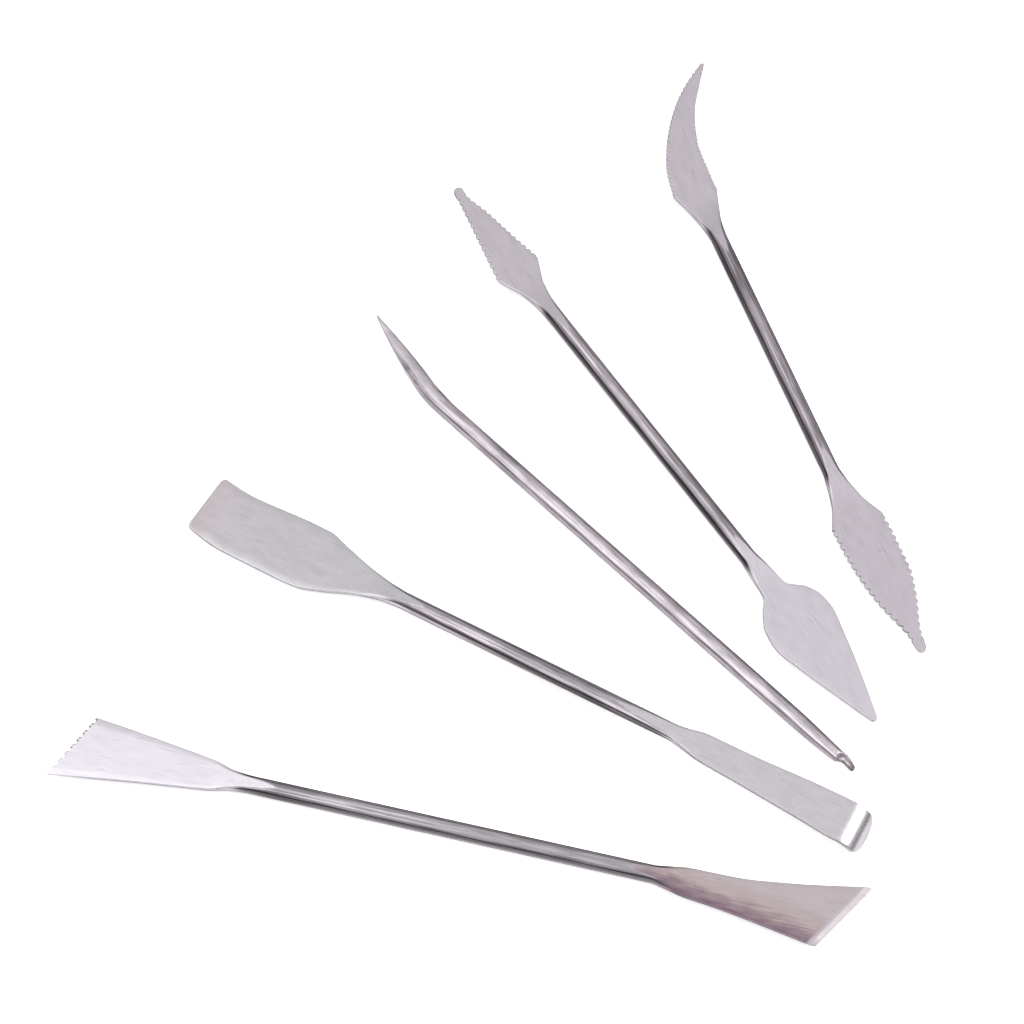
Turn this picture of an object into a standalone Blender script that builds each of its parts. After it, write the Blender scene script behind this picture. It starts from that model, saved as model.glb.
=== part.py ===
"""Set of five double-ended stainless steel clay modelling tools, laid out on a flat surface.

Every tool is one forging: a round rod, drawn out at both ends into a working blade. A blade is
a loft of cross cuts. Each cut runs from the blade's low edge to its high edge, and goes over
from the round rod to a flat section with rounded edges. Tools are drawn along their own X axis
in millimetres, low edge at -Y and high edge at +Y, and are scaled to metres when they are made.
"""
import math
from typing import NamedTuple

import bmesh
import bpy
from mathutils import Matrix, Vector

MM = 0.001

# Stock: the rod that all five tools are forged from, and how thin its ends are drawn.
ROD_DIAMETER = 4.0
BLADE_THICKNESS = 0.9
POINT_THICKNESS = 0.7
SCOOP_THICKNESS = 0.7

# Overall length of each tool, from blade end to blade end, before any bend.
FAN_TOOL_LENGTH = 180.1
PADDLE_TOOL_LENGTH = 170.0
POINT_TOOL_LENGTH = 158.4
DIAMOND_TOOL_LENGTH = 170.2
SICKLE_TOOL_LENGTH = 168.9

# Where each tool lies: the middle of its length, and its turn from the X axis in degrees.
FAN_TOOL_PLACE = (-12.2, -77.7, -13.3)
PADDLE_TOOL_PLACE = (3.8, -38.0, -28.8)
POINT_TOOL_PLACE = (19.0, -7.4, -45.3)
DIAMOND_TOOL_PLACE = (33.2, 18.8, -56.1)
SICKLE_TOOL_PLACE = (61.7, 43.4, -69.9)

# Blade lengths, from where the rod's outline starts to change, and widths at the widest.
FAN_LENGTH, FAN_WIDTH = 45.0, 15.4
FLARE_LENGTH, FLARE_WIDTH = 47.0, 15.8
PADDLE_LENGTH, PADDLE_WIDTH = 53.5, 16.15
STRIP_LENGTH, STRIP_WIDTH = 49.5, 10.0
POINT_LENGTH, POINT_WIDTH = 31.5, 8.5
SCOOP_LENGTH, SCOOP_WIDTH = 38.6, 4.2
DIAMOND_LENGTH, DIAMOND_WIDTH = 45.0, 11.9
TROWEL_LENGTH, TROWEL_WIDTH = 49.0, 16.8
SICKLE_LENGTH, SICKLE_WIDTH = 51.2, 21.9
LEAF_LENGTH, LEAF_WIDTH = 50.4, 13.0

# The neck: the rod starts to flatten this far before a blade's outline does, over this length.
NECK_LEAD = 6.0
NECK_LENGTH = 18.0
SCOOP_SHOULDER = 33.6
SCOOP_NECK = 2.2

# Bends: the radius of the middle of the steel, and how far from the blade's end each starts.
HOOK_RADIUS = 5.8
HOOK_REACH = 7.3
CURL_RADIUS = 31.0
CURL_REACH = 7.5
SCOOP_BEND_RADIUS = 4.0
SCOOP_BEND_REACH = 3.4

# Saw edges: rounded teeth between filed notches, and the notches in the fan's end.
DIAMOND_TEETH = 14
LEAF_TEETH = 17
SAW_DEPTH = 0.4
SICKLE_TEETH = 27
SICKLE_SAW_DEPTH = 0.25
FAN_NOTCHES = 8
FAN_NOTCH_RADIUS = 0.4

# Fineness of the loft: corners of a cross cut, and the spacing of the cuts.
RING_SIDES = 12
CUT_SPACING = 2.4
BEND_SPACING = 0.9
LEAST_SPACING = 0.2
TOOTH_CUTS = (0.0, 0.28, 0.72)
END_TURNS = (25.0, 50.0, 78.0)
NOTCH_SIDES = 12

ROD_RADIUS = ROD_DIAMETER / 2


class Blade(NamedTuple):
    """A blade's outline as drawn, its real length and width, and what its edges and end are."""
    cuts: tuple                             # (low along, low across, high along, high across)
    length: float
    width: float
    corner: float = 0.0                     # how far back the end's rounding starts
    inset: float = 0.0                      # how far in from each edge the rounding reaches
    thickness: float = BLADE_THICKNESS
    neck_start: float = -NECK_LEAD
    neck: float = NECK_LENGTH
    oval: float = 0.0                       # 0 is flat with round edges, 1 is oval
    bent: float = 0.0                       # length of the end that takes closely spaced cuts
    teeth: int = 0
    depth: float = 0.0
    toothed: tuple = (0.0, 1.0)             # the toothed share of the outline


class Cut(NamedTuple):
    """One cross cut of a loft: its edge points, half its thickness, and how oval it is."""
    low: Vector
    high: Vector
    half: float
    oval: float


CORNER = "corner"

FAN = Blade((
    (0, -2.1, 0, 2.1),
    (5.2, -2.35, 5.0, 2.4),
    (10.0, -3.4, 9.6, 3.6),
    (14.5, -3.95, 12.0, 4.0),
    (25.0, -5.2, 22.0, 5.4),
    (45.0, -7.9, 38.2, 7.5),
), FAN_LENGTH, FAN_WIDTH)

FLARE = Blade((
    (0, -2.1, 0, 2.1),
    (3.5, -2.6, 4.2, 2.6),
    (7.8, -3.5, 8.0, 3.1),
    (16.0, -4.5, 18.0, 3.3),
    (27.0, -6.25, 30.0, 4.7),
    (37.1, -8.0, 47.0, 7.8),
), FLARE_LENGTH, FLARE_WIDTH)

PADDLE = Blade((
    (0, -2.1, 0, 2.1),
    (5.0, -2.4, 5.2, 2.5),
    (10.0, -3.6, 10.0, 3.35),
    (19.0, -7.2, 19.0, 5.8),
    (24.0, -8.65, 24.0, 7.2),
    (29.0, -8.9, 28.5, 7.25),
    (44.0, -8.8, 44.0, 6.65),
    (52.7, -7.6, 52.0, 7.3),
), PADDLE_LENGTH, PADDLE_WIDTH, corner=0.8, inset=0.8, bent=CURL_REACH)

STRIP = Blade((
    (0, -2.1, 0, 2.1),
    (3.0, -2.35, 3.0, 2.3),
    (8.2, -3.35, 8.0, 3.2),
    (18.0, -4.05, 18.0, 3.3),
    (34.0, -5.3, 34.0, 3.95),
    (42.2, -5.95, 42.2, 4.05),
    (47.0, -5.9, 47.0, 3.9),
), STRIP_LENGTH, STRIP_WIDTH, corner=2.5, inset=STRIP_WIDTH / 2, bent=HOOK_REACH)

POINT = Blade((
    (0, -2.1, 0, 2.1),
    (3.5, -2.0, 3.5, 2.3),
    (7.0, -1.7, 7.0, 2.7),
    (13.0, -0.3, 13.0, 3.9),
    (20.0, 1.8, 19.5, 5.0),
    (26.5, 4.1, 25.8, 5.85),
    (31.1, 5.9, 30.9, 6.4),
), POINT_LENGTH, POINT_WIDTH, corner=0.25, inset=0.25, thickness=POINT_THICKNESS,
    neck_start=0.0, neck=POINT_LENGTH, oval=1.0)

SCOOP = Blade((
    (0, -2.1, 0, 2.1),
    (20.0, -1.95, 20.0, 1.95),
    (34.0, -1.45, 34.0, 1.45),
    (35.4, -0.8, 35.4, 1.35),
    (37.7, -0.6, 37.7, 0.95),
), SCOOP_LENGTH, SCOOP_WIDTH, corner=0.75, inset=0.7, thickness=SCOOP_THICKNESS,
    neck_start=SCOOP_SHOULDER, neck=SCOOP_NECK, bent=SCOOP_BEND_REACH)

DIAMOND = Blade((
    (0, -2.1, 0, 2.1),
    (5.0, -2.15, 5.0, 2.15),
    (10.0, -3.05, 10.0, 2.95),
    (14.0, -4.7, 14.2, 4.6),
    (17.0, -5.9, 17.5, 6.0, CORNER),
    (25.0, -4.3, 25.0, 4.7),
    (35.0, -2.3, 35.0, 3.15),
    (42.6, -0.85, 42.6, 1.65),
    (43.8, -0.7, 43.8, 1.8),
), DIAMOND_LENGTH, DIAMOND_WIDTH, corner=1.2, inset=1.2,
    teeth=DIAMOND_TEETH, depth=SAW_DEPTH, toothed=(0.39, 0.93))

TROWEL = Blade((
    (0, -2.1, 0, 2.1),
    (4.0, -2.45, 4.0, 2.55),
    (10.3, -3.1, 10.2, 3.1),
    (14.0, -5.85, 14.0, 6.7),
    (18.0, -8.0, 17.5, 8.2),
    (22.4, -8.6, 20.4, 8.4),
    (29.0, -7.2, 29.0, 6.4),
    (39.0, -4.25, 39.0, 3.4),
    (48.1, -1.6, 48.1, 0.3),
), TROWEL_LENGTH, TROWEL_WIDTH, corner=0.9, inset=0.9)

SICKLE = Blade((
    (0, -2.1, 0, 2.1),
    (5.0, -2.65, 5.0, 2.5),
    (9.5, -3.75, 9.2, 3.5),
    (15.4, -5.9, 14.2, 4.95, CORNER),
    (22.0, -4.95, 19.5, 5.15),
    (29.0, -2.5, 26.5, 5.5),
    (36.0, 1.2, 33.0, 7.0),
    (42.0, 5.5, 39.0, 9.3),
    (47.0, 10.4, 45.2, 13.0),
    (50.7, 15.2, 50.1, 16.0),
), SICKLE_LENGTH, SICKLE_WIDTH, corner=0.5, inset=0.5,
    teeth=SICKLE_TEETH, depth=SICKLE_SAW_DEPTH, toothed=(0.3, 0.96))

LEAF = Blade((
    (0, -2.1, 0, 2.1),
    (4.0, -2.5, 4.0, 2.6),
    (9.0, -3.4, 9.0, 3.9),
    (15.2, -5.9, 15.0, 6.8, CORNER),
    (20.0, -5.8, 20.0, 7.1),
    (29.0, -4.95, 29.0, 7.1),
    (36.0, -3.5, 36.0, 5.85),
    (46.5, -0.3, 46.5, 2.65),
    (49.2, 0.0, 49.2, 2.3),
), LEAF_LENGTH, LEAF_WIDTH, corner=1.2, inset=1.2,
    teeth=LEAF_TEETH, depth=SAW_DEPTH, toothed=(0.31, 0.94))


def ease(share):
    """Go from 0 to 1 with a level start and end."""
    share = min(max(share, 0.0), 1.0)
    return share * share * (3 - 2 * share)


def scaled_outline(blade):
    """Give the outline's (low, high, is corner) points at the blade's real length and width."""
    drawn_length = max(max(cut[0], cut[2]) for cut in blade.cuts)
    drawn_width = max(cut[3] for cut in blade.cuts) - min(cut[1] for cut in blade.cuts)
    stretch = (blade.length - blade.corner) / drawn_length
    spread = blade.width / drawn_width
    outline = [(Vector((0, -ROD_RADIUS)), Vector((0, ROD_RADIUS)), False)]
    for cut in blade.cuts[1:]:
        low = Vector((cut[0] * stretch, cut[1] * spread))
        high = Vector((cut[2] * stretch, cut[3] * spread))
        outline.append((low, high, CORNER in cut))
    return outline


def slopes(shares, points, corners):
    """Slope of a smooth curve at each point, level at its peaks and at the rod."""
    chords = []
    for i in range(len(points) - 1):
        chords.append((points[i + 1] - points[i]) / (shares[i + 1] - shares[i]))
    before = [chords[0]] + chords
    after = chords + [chords[-1]]
    result = []
    for i, corner in enumerate(corners):
        if corner or i in (0, len(points) - 1):
            result.append((before[i], after[i]))
            continue
        pair = zip(before[i], after[i])
        slope = Vector([2 * a * b / (a + b) if a * b > 0 else 0.0 for a, b in pair])
        result.append((slope, slope))
    result[0] = (result[0][0], Vector((chords[0].x, 0.0)))
    return result


def edge_curve(shares, points, corners):
    """Make a function that gives an edge's point at any share of the outline."""
    tangents = slopes(shares, points, corners)

    def point_at(share):
        i = max(k for k in range(len(shares) - 1) if shares[k] <= share or k == 0)
        span = shares[i + 1] - shares[i]
        t = (share - shares[i]) / span
        start = tangents[i][1] * span
        end = tangents[i + 1][0] * span
        rise = t * t * (3 - 2 * t)
        bow = t * (1 - t)
        return points[i].lerp(points[i + 1], rise) + start * bow * (1 - t) - end * bow * t

    return point_at


def cut_shares(blade, shares, run):
    """Choose where the outline is cut: at its drawn points, its teeth, its bend and between."""
    first, last = blade.toothed if blade.teeth else (1.0, 1.0)
    wanted = [share for share in shares if share <= first or share >= last]
    steps = math.ceil(run / CUT_SPACING)
    wanted += [k / steps for k in range(steps + 1) if not first < k / steps < last]
    for tooth in range(blade.teeth):
        wanted += [first + (last - first) * (tooth + part) / blade.teeth for part in TOOTH_CUTS]
    fine_steps = math.ceil(blade.bent / BEND_SPACING)
    wanted += [1 - k * BEND_SPACING / run for k in range(fine_steps)]
    chosen = [0.0]
    for share in sorted(wanted):
        if share - chosen[-1] > LEAST_SPACING / run:
            chosen.append(share)
    chosen[-1] = 1.0
    return chosen


def notch_depth(blade, share):
    """Depth that the saw teeth take off both edges at a share of the outline."""
    first, last = blade.toothed
    if not blade.teeth or not first < share < last:
        return 0.0
    place = (share - first) / (last - first) * blade.teeth
    return blade.depth * (1 - abs(math.sin(math.pi * place))) ** 2


def blade_cuts(blade):
    """Loft sections of a blade, from the rod to the end, with +X pointing along the blade."""
    outline = scaled_outline(blade)
    along = [(low.x + high.x) / 2 for low, high, corner in outline]
    run = along[-1]
    shares = [value / run for value in along]
    corners = [corner for low, high, corner in outline]
    low_edge = edge_curve(shares, [low for low, high, corner in outline], corners)
    high_edge = edge_curve(shares, [high for low, high, corner in outline], corners)

    def section(low, high):
        half_width = (high - low).length / 2
        middle = (low.x + high.x) / 2
        flat = ease((middle - blade.neck_start) / blade.neck)
        thick = min(ROD_RADIUS, half_width)
        half = thick + (blade.thickness / 2 - thick) * flat
        return Cut(low, high, min(half, max(half_width, blade.thickness / 2)), blade.oval)

    cuts = []
    if blade.neck_start < 0:
        root = Vector((blade.neck_start, 0))
        side = Vector((0, ROD_RADIUS))
        cuts.append(Cut(root - side, root + side, ROD_RADIUS, blade.oval))
    for share in cut_shares(blade, shares, run):
        low = low_edge(share)
        high = high_edge(share)
        inward = (high - low).normalized() * notch_depth(blade, share)
        cuts.append(section(low + inward, high - inward))
    if blade.corner:
        cuts += rounded_end(cuts[-1], blade)
    return cuts


def rounded_end(last, blade):
    """Cuts that round a blade's end off, in a curve at each corner or in one half round."""
    across = (last.high - last.low).normalized()
    ahead = Vector((across.y, -across.x))
    inset = min(blade.inset, (last.high - last.low).length / 2)
    cuts = []
    for turn in END_TURNS:
        reach = ahead * blade.corner * math.sin(math.radians(turn))
        side = across * inset * (1 - math.cos(math.radians(turn)))
        cuts.append(Cut(last.low + reach + side, last.high + reach - side, last.half, last.oval))
    return cuts


def ring_corners(cut):
    """Corner points of a cross cut, as (across from the middle, up)."""
    width = (cut.high - cut.low).length / 2
    edge = min(width, cut.half)
    corners = []
    for side in range(RING_SIDES):
        angle = math.tau * (side + 0.5) / RING_SIDES
        turn_x = math.cos(angle) / math.cos(math.pi / RING_SIDES)
        turn_y = math.sin(angle) / math.cos(math.pi / RING_SIDES)
        flat_x = math.copysign(width - edge, turn_x) + edge * turn_x
        flat_y = math.copysign(cut.half - edge, turn_y) + edge * turn_y
        corners.append((flat_x + (width * turn_x - flat_x) * cut.oval,
                        flat_y + (cut.half * turn_y - flat_y) * cut.oval))
    return corners


def cut_rings(bm, cuts, place):
    """Make a ring of vertices at every cut; place turns (along, across) to X and Y."""
    rings = []
    for cut in cuts:
        low = place @ cut.low.to_3d()
        high = place @ cut.high.to_3d()
        across = (high - low).normalized()
        middle = (low + high) / 2
        ring = []
        for offset, up in ring_corners(cut):
            ring.append(bm.verts.new(middle + across * offset + Vector((0, 0, up))))
        rings.append(ring)
    return rings


def skin(bm, rings):
    """Join a run of rings into one surface that is closed at both ends."""
    for ring, following in zip(rings, rings[1:]):
        for side in range(RING_SIDES):
            after = (side + 1) % RING_SIDES
            bm.faces.new((ring[side], following[side], following[after], ring[after]))
    bm.faces.new(rings[0])
    bm.faces.new(rings[-1])
    bmesh.ops.recalc_face_normals(bm, faces=bm.faces)


def bend(bm, start, radius, rising):
    """Bend the steel beyond start, a distance along X, in an arc, down or rising."""
    side = math.copysign(1, start)
    lift = 1 if rising else -1
    for vert in bm.verts:
        beyond = (vert.co.x - start) * side
        if beyond <= 0:
            continue
        angle = beyond / radius
        arm = radius - lift * vert.co.z
        vert.co.x = start + side * arm * math.sin(angle)
        vert.co.z = lift * (radius - arm * math.cos(angle))


def place_left(length, blade):
    """Matrix that takes a blade's own (along, across) to the left end of a tool."""
    root = Matrix.Translation((blade.length - length / 2, 0, 0))
    return root @ Matrix.Diagonal((-1, 1, 1, 1))


def place_right(length, blade):
    """Matrix that takes a blade's own (along, across) to the right end of a tool."""
    return Matrix.Translation((length / 2 - blade.length, 0, 0))


def forge(length, left, right):
    """Make a tool's steel in millimetres, with a blade at its left and its right end."""
    bm = bmesh.new()
    rings = cut_rings(bm, blade_cuts(left)[::-1], place_left(length, left))
    rings += cut_rings(bm, blade_cuts(right), place_right(length, right))
    skin(bm, rings)
    return bm


def new_object(name, bm, collection):
    """Turn a mesh in millimetres into an object in metres."""
    bmesh.ops.scale(bm, vec=(MM, MM, MM), verts=bm.verts)
    mesh = bpy.data.meshes.new(name)
    bm.to_mesh(mesh)
    bm.free()
    obj = bpy.data.objects.new(name, mesh)
    collection.objects.link(obj)
    return obj


def steel(name, colour, roughness):
    """A stainless steel finish."""
    material = bpy.data.materials.new(name)
    material.use_nodes = True
    shader = material.node_tree.nodes["Principled BSDF"]
    shader.inputs["Base Color"].default_value = (*colour, 1)
    shader.inputs["Metallic"].default_value = 1.0
    shader.inputs["Roughness"].default_value = roughness
    return material


def make_tool(name, bm, place, finish, collection, tilt=0.0):
    """Lay a tool down at its place, on the surface, turned and tilted as it rests."""
    obj = new_object(name, bm, collection)
    x, y, turn = place
    obj.rotation_euler = (0, tilt, math.radians(turn))
    obj.location = (x * MM, y * MM, 0)
    stand = Matrix.Translation(obj.location) @ obj.rotation_euler.to_matrix().to_4x4()
    obj.location.z = -min((stand @ vert.co).z for vert in obj.data.vertices)
    obj.data.shade_smooth()
    obj.data.set_sharp_from_angle(angle=math.radians(35))
    obj.data.materials.append(finish)
    return obj


def cut_fan_notches(tool, cutters):
    """File a row of round notches across the fan's slanted end."""
    end = blade_cuts(FAN)[-1]
    place = place_left(FAN_TOOL_LENGTH, FAN)
    low = place @ end.low.to_3d()
    high = place @ end.high.to_3d()
    bm = bmesh.new()
    for notch in range(FAN_NOTCHES):
        middle = low.lerp(high, (notch + 0.5) / FAN_NOTCHES)
        bmesh.ops.create_cone(bm, cap_ends=True, segments=NOTCH_SIDES, radius1=FAN_NOTCH_RADIUS,
                              radius2=FAN_NOTCH_RADIUS, depth=ROD_DIAMETER,
                              matrix=Matrix.Translation(middle))
    cutter = new_object("fan_notch_cutter", bm, cutters)
    cutter.location = tool.location
    cutter.rotation_euler = tool.rotation_euler
    cutter.hide_render = True
    cutter.display_type = "WIRE"
    notching = tool.modifiers.new("fan_notches", "BOOLEAN")
    notching.operation = "DIFFERENCE"
    notching.object = cutter
    return cutter


def hook_tilt(bm):
    """Angle at which a tool rests on its hook's tip and on the far end of its rod."""
    tip = min((vert.co for vert in bm.verts if vert.co.x > 0), key=lambda co: co.z)
    rod_end = PADDLE_LENGTH + NECK_LEAD - PADDLE_TOOL_LENGTH / 2
    return math.atan2(tip.z + ROD_RADIUS, tip.x - rod_end)


def centre_on_origin(tools, holder):
    """Shift the set so that the origin is under the middle of the box around it."""
    corners = []
    for tool in tools:
        stand = Matrix.Translation(tool.location) @ tool.rotation_euler.to_matrix().to_4x4()
        corners += [stand @ vert.co for vert in tool.data.vertices]
    for axis in (0, 1):
        values = [corner[axis] for corner in corners]
        holder.location[axis] = -(min(values) + max(values)) / 2


def main():
    """Clear the scene and make the five tools."""
    for obj in list(bpy.data.objects):
        bpy.data.objects.remove(obj)
    parts = bpy.data.collections.new("clay_modelling_tools")
    cutters = bpy.data.collections.new("cutters")
    bpy.context.scene.collection.children.link(parts)
    bpy.context.scene.collection.children.link(cutters)

    fan = forge(FAN_TOOL_LENGTH, FAN, FLARE)
    paddle = forge(PADDLE_TOOL_LENGTH, PADDLE, STRIP)
    bend(paddle, PADDLE_TOOL_LENGTH / 2 - HOOK_REACH, HOOK_RADIUS, rising=False)
    bend(paddle, CURL_REACH - PADDLE_TOOL_LENGTH / 2, CURL_RADIUS, rising=True)
    point = forge(POINT_TOOL_LENGTH, POINT, SCOOP)
    bend(point, POINT_TOOL_LENGTH / 2 - SCOOP_BEND_REACH, SCOOP_BEND_RADIUS, rising=False)
    diamond = forge(DIAMOND_TOOL_LENGTH, DIAMOND, TROWEL)
    sickle = forge(SICKLE_TOOL_LENGTH, SICKLE, LEAF)

    bright = steel("polished_steel", (0.82, 0.80, 0.82), 0.15)
    brushed = steel("brushed_steel", (0.58, 0.57, 0.60), 0.28)
    ground = steel("ground_steel", (0.56, 0.53, 0.56), 0.32)
    tilt = hook_tilt(paddle)
    tools = [
        make_tool("fan_and_flare_tool", fan, FAN_TOOL_PLACE, bright, parts),
        make_tool("paddle_and_hook_tool", paddle, PADDLE_TOOL_PLACE, brushed, parts, tilt),
        make_tool("point_and_scoop_tool", point, POINT_TOOL_PLACE, ground, parts),
        make_tool("diamond_and_trowel_tool", diamond, DIAMOND_TOOL_PLACE, ground, parts),
        make_tool("sickle_and_leaf_tool", sickle, SICKLE_TOOL_PLACE, ground, parts),
    ]
    notch_cutter = cut_fan_notches(tools[0], cutters)

    holder = bpy.data.objects.new("tool_set", None)
    parts.objects.link(holder)
    centre_on_origin(tools, holder)
    for obj in tools + [notch_cutter]:
        obj.parent = holder


main()
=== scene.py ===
"""Looks of a set of five double-ended stainless steel clay modelling tools, laid out on a table.

Every tool is drawn out from one round rod. Its mesh starts as a ring at the end of one blade, which
is extruded from cross section to cross section, through the rod, to the end of the other blade.
Shapes are worked out in millimetres along the tool's own X axis, with its low edge at -Y and its
high edge at +Y, and become metres when the tool is laid on its CAD node's place.
"""
import math
from typing import NamedTuple

import bmesh
import bpy
from mathutils import Matrix, Vector


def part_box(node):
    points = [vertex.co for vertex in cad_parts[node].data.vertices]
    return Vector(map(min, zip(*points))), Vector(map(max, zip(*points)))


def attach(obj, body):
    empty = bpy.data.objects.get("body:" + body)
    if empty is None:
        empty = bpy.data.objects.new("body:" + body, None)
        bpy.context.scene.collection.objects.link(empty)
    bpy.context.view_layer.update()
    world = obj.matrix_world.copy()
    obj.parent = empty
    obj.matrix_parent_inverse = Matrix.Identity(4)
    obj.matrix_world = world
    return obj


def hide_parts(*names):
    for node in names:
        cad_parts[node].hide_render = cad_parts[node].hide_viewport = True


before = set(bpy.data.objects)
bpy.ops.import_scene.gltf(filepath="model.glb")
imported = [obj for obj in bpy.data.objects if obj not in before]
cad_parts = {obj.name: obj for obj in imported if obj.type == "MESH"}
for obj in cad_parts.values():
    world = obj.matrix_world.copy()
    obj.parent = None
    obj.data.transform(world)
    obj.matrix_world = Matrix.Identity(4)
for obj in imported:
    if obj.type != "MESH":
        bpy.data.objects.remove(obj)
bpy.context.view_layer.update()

MM = 0.001

# Stock and drawn thicknesses, in millimetres, as in the CAD model.
ROD_RADIUS = 2.0
BLADE_THICKNESS = 0.9
POINT_THICKNESS = 0.7
SCOOP_THICKNESS = 0.7

# Where a neck starts to flatten before its blade widens, and how long it takes.
NECK_LEAD = 6.0
NECK_LENGTH = 18.0
SCOOP_SHOULDER = 33.6
SCOOP_NECK = 2.2

# Bends: the radius of the middle of the steel, and how far from the blade's end each starts.
HOOK_RADIUS = 5.8
HOOK_REACH = 7.3
CURL_RADIUS = 31.0
CURL_REACH = 7.5
SCOOP_BEND_RADIUS = 4.0
SCOOP_BEND_REACH = 3.4

# Saw edges: rounded teeth between filed notches, and round notches across the fan's end.
SAW_DEPTH = 0.55
SICKLE_SAW_DEPTH = 0.42
NOTCH_CURVE = 1.2                           # the higher, the narrower the notches
FAN_NOTCHES = 8
FAN_NOTCH_RADIUS = 0.5

# Grinding and polishing: small roundings, and how far the rod's darker skin and painted shade were
# taken off.
EDGE_ROUNDING = 0.2
ROUNDED_HALF = 0.9                          # share of a thin section that its edges may round
ROUNDED_END = 0.7                           # the same, for the edge around a blade's end
BEVEL_LOSS = 0.6                            # share of the thickness that a bevel takes off the end
SCOOP_DISH = 0.45                           # how far the scoop's edges stand up
SQUARE_FROM = 0.6                           # how flat a neck is where its edges start to square
GROUND_FROM = 0.4                           # how flat a neck is where its edges start to shine
GROUND_SPAN = 0.35
TONGUE_EDGE = 0.03                          # how soon the rod's skin starts beside a ground face
RIM_SKIN_AND_PAINTED_LIGHT = 0.4                              # how much skin, with the rod's painted shade and highlight, is left along a blade's rim
RIM_SPREAD = 0.4                            # share of the rim that the skin takes to fade
RESTING_GAP = 0.1                           # a tool bent less than this far below its rod lies flat

# Fineness of the mesh.
ARC_STEPS = 10
FLAT_STEPS = 8
ROD_FLAT_ANGLE = math.radians(28)
CUT_SPACING = 0.45
ROD_SPACING = 2.5
BEND_SPACING = 0.25
LEAST_SPACING = 0.03
LEAST_HALF_WIDTH = 0.02
LEAST_HALF_THICKNESS = 0.03
TOOTH_CUTS = (0.0, 0.05, 0.11, 0.18, 0.28, 0.5, 0.72, 0.82, 0.89, 0.95)
END_TURNS = tuple(range(8, 89, 8))
EDGE_TURNS = (30, 60, 85)
NOTCH_SIDES = 32
SHARP_ANGLE = math.radians(50)

CORNER = "corner"


class Blade(NamedTuple):
    """A blade's outline as drawn, its real length and width, and what its edges and end are."""
    cuts: tuple                             # (low along, low across, high along, high across)
    length: float
    width: float
    corner: float = 0.0                     # how far back the end's rounding starts
    inset: float = 0.0                      # how far in from each edge the rounding reaches
    thickness: float = BLADE_THICKNESS
    neck_start: float = -NECK_LEAD
    neck: float = NECK_LENGTH
    oval: float = 0.0                       # 0 is flat with square edges, 1 is oval
    bent: float = 0.0                       # length of the end that takes closely spaced cuts
    teeth: int = 0
    depth: float = 0.0
    toothed: tuple = (0.0, 1.0)             # the toothed share of the outline
    ground: float = 0.0                     # length of the end that is ground down to a bevel
    dish: float = 0.0                       # how far its edges stand up


class Section(NamedTuple):
    """A cross section of the steel, from its low edge to its high edge."""
    low: Vector
    high: Vector
    half: float                             # half its thickness
    side: float                             # radius of its two sides
    flat: float                             # 0 is the round rod, 1 is the finished blade
    square: float                           # 0 is round edges, 1 is square edges
    oval: float
    dish: float = 0.0                       # how far its edges stand up


FAN = Blade((
    (0, -2.1, 0, 2.1),
    (5.2, -2.35, 5.0, 2.4),
    (10.0, -3.4, 9.6, 3.6),
    (14.5, -3.95, 12.0, 4.0),
    (25.0, -5.2, 22.0, 5.4),
    (45.0, -7.9, 38.2, 7.5),
), 45.0, 15.4, ground=10.0)

FLARE = Blade((
    (0, -2.1, 0, 2.1),
    (3.5, -2.6, 4.2, 2.6),
    (7.8, -3.5, 8.0, 3.1),
    (16.0, -4.5, 18.0, 3.3),
    (27.0, -6.25, 30.0, 4.7),
    (37.1, -8.0, 47.0, 7.8),
), 47.0, 15.8, ground=1.4)

PADDLE = Blade((
    (0, -2.1, 0, 2.1),
    (5.0, -2.4, 5.2, 2.5),
    (10.0, -3.6, 10.0, 3.35),
    (19.0, -7.2, 19.0, 5.8),
    (24.0, -8.65, 24.0, 7.2),
    (29.0, -8.9, 28.5, 7.25),
    (44.0, -8.8, 44.0, 6.65),
    (52.7, -7.6, 52.0, 7.3),
), 53.5, 16.15, corner=0.8, inset=0.8, bent=CURL_REACH)

# The strip's neck flattens over a longer stretch of rod than in the CAD model.
STRIP = Blade((
    (0, -2.1, 0, 2.1),
    (3.0, -2.35, 3.0, 2.3),
    (8.2, -3.35, 8.0, 3.2),
    (18.0, -4.05, 18.0, 3.3),
    (34.0, -5.3, 34.0, 3.95),
    (42.2, -5.95, 42.2, 4.05),
    (47.0, -5.9, 47.0, 3.9),
), 49.5, 10.0, corner=2.5, inset=5.0, neck_start=-15.0, neck=27.0, bent=HOOK_REACH)

POINT = Blade((
    (0, -2.1, 0, 2.1),
    (3.5, -2.0, 3.5, 2.3),
    (7.0, -1.7, 7.0, 2.7),
    (13.0, -0.3, 13.0, 3.9),
    (20.0, 1.8, 19.5, 5.0),
    (26.5, 4.1, 25.8, 5.85),
    (31.1, 5.9, 30.9, 6.4),
), 31.5, 8.5, corner=0.25, inset=0.25, thickness=POINT_THICKNESS,
    neck_start=0.0, neck=31.5, oval=1.0)

SCOOP = Blade((
    (0, -2.1, 0, 2.1),
    (20.0, -1.95, 20.0, 1.95),
    (34.0, -1.45, 34.0, 1.45),
    (35.4, -0.8, 35.4, 1.35),
    (37.7, -0.6, 37.7, 0.95),
), 38.6, 4.2, corner=0.75, inset=0.7, thickness=SCOOP_THICKNESS,
    neck_start=SCOOP_SHOULDER, neck=SCOOP_NECK, bent=SCOOP_BEND_REACH, dish=SCOOP_DISH)

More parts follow.
